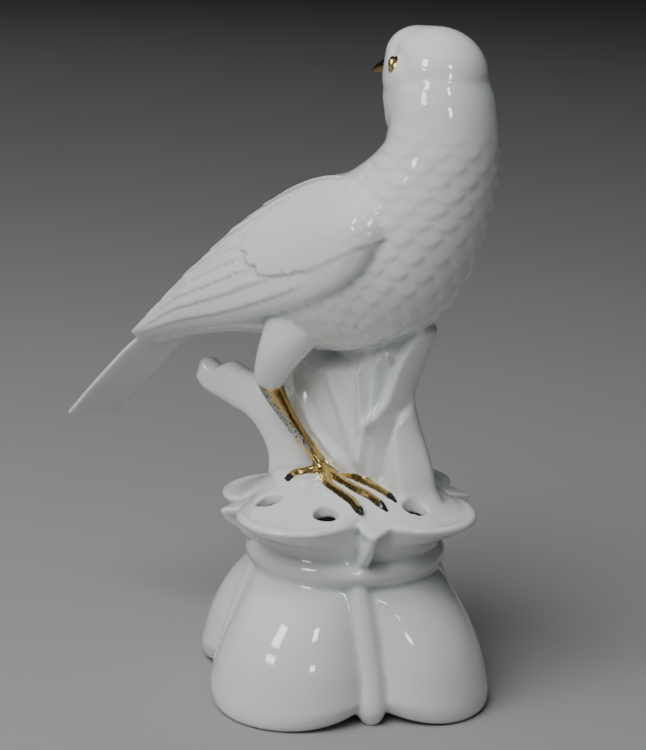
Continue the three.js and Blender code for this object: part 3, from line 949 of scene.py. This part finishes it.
points = read_points(figure)
depths = [line_depth(points, line, 1.2) for line in (*gilt_lines, *claw_tips, BEAK)]
depths += [EYE_HALF[2] + 1 - distance_from(points, eye) for eye in eyes]
keep = 1 - 0.8 * smooth_step(np.max(depths, 0), 0, 0.6)
softened(figure, HOLLOW_ROUNDS, EDGE_ROUNDS, keep)
ahead, aside, above = THROAT_SIDE
throat_sides = [in_head(ahead, hand * aside, above) for hand in (1, -1)]
from_throat = np.min([distance_from(points, side) for side in throat_sides], 0)
softened(figure, THROAT_ROUNDS, 0, 1 - smooth_step(from_throat, 8, 12))
print("softened", len(points), "points")

# %% [markdown]
# The breast and the flanks carry rows of small round feathers, so shallow that they only break
# the reflections. They are laid over the body alone, so each point is first tested against the
# body's own sweep. Their heights are averaged with their neighbours', as glaze fills fine
# relief. A soft valley runs back from each eye, and it is pressed in the same way.

# %% Breast feathers and brows
FEATHER_ROW = 4.2
FEATHER_COLUMNS = 29
FEATHER_HEIGHT = 1.15
PILLOW_ROUNDS = 2
BREAST_AT = (2, 0, 150)
BREAST_RADIUS = 27
SLICE_HALF = 1.4
BROW_VALLEY = [(6.8, 11.2, 7.8), (2.2, 13.2, 6.2), (-2.6, 14.3, 1.7), (-5.4, 13.9, -1.6)]
BROW_DEPTH = 1.1
BROW_HALF = 2.5


def body_skin_share(points, stations):
    """Where each point lies between the body's middle line, 0, and its skin, 1."""
    middle = curve([place for place, high, wide in stations], 90)
    size = curve([(high, wide) for place, high, wide in stations], 90)
    along = unit(np.gradient(middle, axis=0))
    across = unit(np.array((0, 1, 0)) - along * along[:, 1:2])
    top = np.cross(across, along)
    share = np.full(len(points), 9.0)
    for at, run, beside, over, (high, wide) in zip(middle, along, across, top, size):
        from_middle = points - at
        slice_near = np.abs(from_middle @ run) < SLICE_HALF
        close = from_middle[slice_near]
        value = np.hypot(close @ over / high, close @ beside / wide)
        share[slice_near] = np.minimum(share[slice_near], value)
    return share


points, normals = read_points(figure), read_normals(figure)
x, y, z = points.T
slack = 0.1 * smooth_step(z, 160, 172)
on_body = 1 - smooth_step(np.abs(body_skin_share(points, BODY) - 1) - slack, 0.03, 0.07)
below_throat = smooth_step(np.minimum(183, 158 + 1.8 * (x - 2)) - z, -1, 9)
above_vent = smooth_step(x, -45, -30) * smooth_step(z, 104, 107)
out = np.hypot(x - BREAST_AT[0], y - BREAST_AT[1])
turned_under = BREAST_RADIUS * np.arctan2(np.maximum(0, BREAST_AT[2] - z), out)
down = (turned_under - np.maximum(0, z - BREAST_AT[2])) / FEATHER_ROW
beside = np.arctan2(y - BREAST_AT[1], x - BREAST_AT[0]) * FEATHER_COLUMNS / (2 * math.pi)
feather = FEATHER_HEIGHT * (pillows(down, beside) - PILLOW_LEVEL)
feather = feather * on_body * below_throat * above_vent
edges = read_edges(figure)
for round_number in range(PILLOW_ROUNDS):
    feather = neighbour_mean(feather[:, None], edges)[:, 0]
brow = 0 * feather
for hand in (1, -1):
    line = curve([in_head(ahead, hand * aside, above) for ahead, aside, above in BROW_VALLEY], 30)
    close = distance_from(points, line[len(line) // 2]) < 18
    away = np.linalg.norm(points[close][:, None] - line[None], axis=2)
    fade = 1 - 0.75 * np.linspace(0, 1, len(line))[away.argmin(1)]
    brow[close] -= BROW_DEPTH * fade * np.exp(-(away.min(1) / BROW_HALF) ** 2)
write_points(figure, points + normals * (feather + brow)[:, None])
print("feathered points:", int((np.abs(feather) > 0.02).sum()))

# %% [markdown]
# The wing feathers are cut last. Each point near the outer side of a wing looks up the nearest
# place on the wing's own skin, and the relief there moves it outwards.

# %% Wing feathers


def finder(cloud):
    """A search tree over a cloud of points."""
    tree = KDTree(len(cloud))
    for index, point in enumerate(cloud):
        tree.insert(point, index)
    tree.balance()
    return tree


points, normals = read_points(figure), read_normals(figure)
raised = np.zeros(len(points))
for hand, wing in zip((1, -1), wing_skins):
    tree = finder(wing[:, :3])
    x, y, z = points.T
    near = np.flatnonzero((y * hand > 0) & (z > 98) & (x < 27))
    nearest = [tree.find(points[index])[1:] for index in near]
    which = np.array([index for index, away in nearest])
    away = np.array([away for index, away in nearest])
    weight = 1 - smooth_step(away, 0.7, 1.3)
    raised[near] = wing_relief(wing[which, 3], wing[which, 4]) * weight
write_points(figure, points + normals * raised[:, None])
print("points on wing feathers:", int((np.abs(raised) > 0.02).sum()))

# %% [markdown]
# The mesh is finer than a figure on a shelf needs. Decimation takes faces away where the
# surface is smooth, and the shading is copied back from the fine mesh, so reflections stay calm.

# %% Thin the mesh out
FACES_KEPT = 190000


def triangles(made):
    return sum(len(polygon.vertices) - 2 for polygon in made.data.polygons)


fine_points, fine_normals = read_points(figure), read_normals(figure)
thinning = figure.modifiers.new("thinned", "DECIMATE")
thinning.ratio = min(1, FACES_KEPT / triangles(figure))
figure = applied(figure)
print("thinned to", triangles(figure), "triangles")

# %% [markdown]
# Where the gilding, the black claws and the deeper pools of glaze lie is worked out on the mesh
# itself, as a number for each point. Gilding is a depth inside or outside its edge, so the edge
# stays crisp between two points. Pools are hollows, which show as a fuller, greyer glaze.

# %% Marks for gilding, claws, painted shade on the shank and pooled glaze
GILT_SLOPE = 0.19
WORN_STRIP = [
    ((-24.4, -16.2, 96), 2.3, 2.3),
    ((-17.8, -11.6, 86), 1.7, 1.7),
    ((-10.4, -7, 77), 0.8, 0.8),
]
# Painted shade: a strip down the shank's right side, which turns away from the key light.
SHADE_STRIP_ON_SHANK = [
    ((-18.4, -12.4, 97), 2.6, 2.6),
    ((-14.4, -9.6, 88), 1.4, 1.4),
    ((-9.6, -6, 78), 0.5, 0.5),
]
POOL_ROUNDS = 14

points = read_points(figure)
gilt = np.max([line_depth(points, line, 0.5) for line in gilt_lines], 0)
gilt = np.minimum(gilt, GILT_TOP + GILT_SLOPE * (points[:, 0] + 21) - points[:, 2])
outside_skull = distance_from(points, in_head(8, 0, 2)) - 5.6
beak_depth = np.minimum(line_depth(points, BEAK, 0.7), outside_skull)
to_head = np.array([
    (math.cos(HEAD_TURN), math.sin(HEAD_TURN), 0),
    (-math.sin(HEAD_TURN), math.cos(HEAD_TURN), 0),
    (0, 0, 1),
])
from_eyes = [np.linalg.norm((points - eye) @ to_head.T / EYE_HALF, axis=1) for eye in eyes]
eye_depth = 2 * (1.1 - np.min(from_eyes, 0))
gilt = np.max([gilt, beak_depth, eye_depth], 0)
claw = np.max([line_depth(points, line, 0.4) for line in claw_tips], 0)
worn = line_depth(points, WORN_STRIP, 0.2)
# One mark holds the painted shade down the shank and a darker beak.
browned = np.maximum(line_depth(points, SHADE_STRIP_ON_SHANK, 0.4), beak_depth * 2)
edges = read_edges(figure)
spread = points.copy()
for round_number in range(POOL_ROUNDS):
    spread = neighbour_mean(spread, edges)
pool = np.clip(((spread - points) * read_normals(figure)).sum(1) * 1.1, -1, 1)
marks = {"gilt": gilt, "claw": claw, "worn": worn, "browned": browned, "pool": pool}
for name, values in marks.items():
    layer = figure.data.attributes.new(name, "FLOAT", "POINT")
    layer.data.foreach_set("value", np.clip(values, -2, 2).astype(np.float32))
print("gilded points:", int((gilt > 0).sum()), "claw points:", int((claw > 0).sum()))

# %% [markdown]
# The work so far was in millimetres. The points are scaled to metres once, the foot is set flat
# on the floor, and each point takes its shading from the fine mesh's nearest points.

# %% Scale to metres
points = read_points(figure)
tree_of_points = finder(fine_points)
calm = []
for point in points:
    found = [index for place, index, away in tree_of_points.find_n(point, 3)]
    calm.append(fine_normals[found].sum(0))
points[:, 2] = np.where(points[:, 2] < 0.25, 0, points[:, 2])
write_points(figure, points * MM)
for polygon in figure.data.polygons:
    polygon.use_smooth = True
figure.data.normals_split_custom_set_from_vertices(unit(np.array(calm)).tolist())
figure.name = "glazed_bird"
print("size in mm:", [round(value / MM, 1) for value in figure.dimensions])

# %% [markdown]
# Porcelain is white under a clear, hard glaze. Its looks come from sharp reflections, from a
# faint waviness of the glaze and from hollows, where the glaze stands thicker and greyer. The
# gilding is gold with darker blotches and a darker beak, with painted shade down the shank's
# right side, and with a worn silvery strip down the shank.

# %% Porcelain, gilding and claws
def shader_kit(material):
    material.use_nodes = True
    tree = material.node_tree
    shader = tree.nodes["Principled BSDF"]

    def node(kind, **values):
        made = tree.nodes.new(kind)
        for name, value in values.items():
            setattr(made, name, value)
        return made

    def feed(socket, value):
        """Links another node's output to a socket, or sets the socket to a plain value."""
        if isinstance(value, bpy.types.NodeSocket):
            tree.links.new(value, socket)
        else:
            socket.default_value = value

    def mix(factor, first, second):
        made = node("ShaderNodeMix", data_type="RGBA")
        feed(made.inputs["Factor"], factor)
        feed(made.inputs[6], first)
        feed(made.inputs[7], second)
        return made.outputs[2]

    def math_of(operation, *values):
        made = node("ShaderNodeMath", operation=operation)
        for socket, value in zip(made.inputs, values):
            feed(socket, value)
        return made.outputs[0]

    def ramp(value, low, high, to_low=0.0, to_high=1.0):
        made = node("ShaderNodeMapRange", interpolation_type="SMOOTHSTEP")
        names = ("Value", "From Min", "From Max", "To Min", "To Max")
        for name, number in zip(names, (value, low, high, to_low, to_high)):
            feed(made.inputs[name], number)
        return made.outputs["Result"]

    def attribute(name):
        return node("ShaderNodeAttribute", attribute_name=name).outputs["Fac"]

    def noise(scale, detail=2.0):
        made = node("ShaderNodeTexNoise")
        feed(made.inputs["Scale"], scale)
        feed(made.inputs["Detail"], detail)
        feed(made.inputs["Vector"], place)
        return made.outputs["Fac"]

    place = node("ShaderNodeTexCoord").outputs["Object"]
    return shader.inputs, place, node, feed, mix, math_of, ramp, attribute, noise


WHITE = (0.80, 0.82, 0.81, 1)
WARM_WHITE = (0.82, 0.82, 0.79, 1)
POOLED = (0.52, 0.57, 0.57, 1)
GOLD = (0.86, 0.62, 0.23, 1)
# Darker gold for random blotches, for the beak and for the painted shade down the shank.
BLOTCH_AND_SHADE_GOLD = (0.30, 0.15, 0.035, 1)
WORN_SILVER = (0.52, 0.51, 0.48, 1)
SCRATCHED = (0.07, 0.045, 0.02, 1)
CLAW_BLACK = (0.012, 0.011, 0.011, 1)

glaze = bpy.data.materials.new("glazed_porcelain")
surface, place, node, feed, mix, math_of, ramp, attribute, noise = shader_kit(glaze)
gilt_mask = ramp(attribute("gilt"), -0.06, 0.06)
claw_mask = ramp(attribute("claw"), -0.05, 0.05)
pool_mask = ramp(attribute("pool"), 0.04, 0.7, 0.0, 0.65)
cloud = noise(38)
body_colour = mix(pool_mask, mix(cloud, WHITE, WARM_WHITE), POOLED)
blotches = math_of("MULTIPLY", ramp(noise(260, 3), 0.5, 0.8), 0.35)
# This darkens the gold down the shank's right side, as painted shade, and over the beak.
browned = math_of("MULTIPLY", ramp(attribute("browned"), -0.9, 0.5), 0.8)
gold = mix(math_of("MAXIMUM", blotches, browned), GOLD, BLOTCH_AND_SHADE_GOLD)
flakes = math_of("MULTIPLY", ramp(attribute("worn"), -0.3, 0.3), ramp(noise(600, 3), 0.3, 0.44))
silver = mix(ramp(noise(1700, 4), 0.5, 0.62), WORN_SILVER, SCRATCHED)
coloured = mix(gilt_mask, body_colour, mix(flakes, gold, silver))
feed(surface["Base Color"], mix(claw_mask, coloured, CLAW_BLACK))
gilt_left = math_of("MULTIPLY", gilt_mask, math_of("SUBTRACT", 1.0, claw_mask))
unworn = math_of("SUBTRACT", 1.0, math_of("MULTIPLY", flakes, 0.35))
feed(surface["Metallic"], math_of("MULTIPLY", gilt_left, unworn))
rough = node("ShaderNodeMix", data_type="FLOAT")
feed(rough.inputs[0], gilt_mask)
feed(rough.inputs[2], math_of("MULTIPLY_ADD", cloud, 0.05, 0.035))
feed(rough.inputs[3], math_of("MULTIPLY_ADD", noise(700), 0.2, 0.15))
feed(surface["Roughness"], rough.outputs[0])
scute = node("ShaderNodeTexVoronoi", feature="F1")
feed(scute.inputs["Scale"], 900)
feed(scute.inputs["Vector"], place)
wave = math_of("MULTIPLY", noise(95, 1), 0.5)
scutes = math_of("MULTIPLY", math_of("MULTIPLY", scute.outputs["Distance"], gilt_mask), 0.12)
bump = node("ShaderNodeBump")
feed(bump.inputs["Strength"], 0.6)
feed(bump.inputs["Distance"], 0.0004)
feed(bump.inputs["Height"], math_of("ADD", wave, scutes))
feed(surface["Normal"], bump.outputs["Normal"])
feed(surface["IOR"], 1.58)
feed(surface["Coat Weight"], 0.35)
feed(surface["Coat Roughness"], 0.02)
figure.data.materials.clear()
figure.data.materials.append(glaze)
print("materials:", glaze.name, "with", len(glaze.node_tree.nodes), "nodes")

# %% [markdown]
# The floor is a plain pale sheet that runs far back, so no edge of it shows. Two tall windows
# with a bar across them stand to the left of the camera and just to its right. They only show
# in the glaze, where their sharp reflections draw its roundness. A soft key light from the
# front left and a weak ceiling light give the shading, and they leave no reflections.

# %% Floor and lights
FLOOR_HALF = 30
FLOOR_COLOURS = (0.33, 0.33, 0.335, 1), (0.36, 0.36, 0.36, 1)
DAYLIGHT = (0.96, 0.98, 1)
KEY_LIGHT = (0.97, 0.985, 1)
CEILING_LIGHT = (0.98, 0.99, 1)
WINDOW_AWAY = 1.6
floor = mesh_object("floor", square(FLOOR_HALF), [[0, 1, 2, 3]])
paper = bpy.data.materials.new("pale_floor")
surface, place, node, feed, mix, math_of, ramp, attribute, noise = shader_kit(paper)
feed(surface["Base Color"], mix(noise(6, 3), *FLOOR_COLOURS))
feed(surface["Roughness"], 0.8)
floor.data.materials.append(paper)


def softbox(name, turn, rise, away, width, height, watts, colour, aim_height=0.13):
    """A flat light, placed by its turn from the camera, its rise and its distance."""
    data = bpy.data.lights.new(name, "AREA")
    data.shape = "RECTANGLE"
    data.size = width
    data.size_y = height
    data.energy = watts
    data.color = colour
    light = placed(name, data)
    heading = math.atan2(eye_point.y, eye_point.x) + math.radians(turn)
    climb = math.radians(rise)
    level = math.cos(climb)
    direction = Vector((level * math.cos(heading), level * math.sin(heading), math.sin(climb)))
    light.location = Vector((0, 0, aim_height)) + direction * away
    light.rotation_euler = (-direction).to_track_quat("-Z", "Y").to_euler()
    return light


def window(name, turn, rises, width, heights, watts):
    """Panes above each other, with a bar of shade between them. They only show in reflections."""
    for index, (rise, height) in enumerate(zip(rises, heights)):
        pane_name = f"{name}_{index}"
        pane = softbox(pane_name, turn, rise, WINDOW_AWAY, width, height, watts * height, DAYLIGHT)
        pane.visible_diffuse = False


window("left_window", -46, (21, 36), 0.34, (0.12, 0.42), 16)
window("right_window", 15, (19, 34), 0.16, (0.08, 0.22), 10)
key = softbox("key", -36, 48, 0.95, 0.8, 0.8, 12, KEY_LIGHT, aim_height=0.2)
ceiling = softbox("ceiling", -125, 66, 2.6, 4.4, 4.4, 20, CEILING_LIGHT)
for light in (key, ceiling):
    light.visible_glossy = False
world = bpy.data.worlds.new("room")
world.use_nodes = True
room = world.node_tree.nodes["Background"].inputs
room["Color"].default_value = (0.46, 0.49, 0.55, 1)
room["Strength"].default_value = 0.06
bpy.context.scene.world = world
print("lights:", len(bpy.data.lights))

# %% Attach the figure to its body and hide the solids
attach(figure, "root")
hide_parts(*NODES)
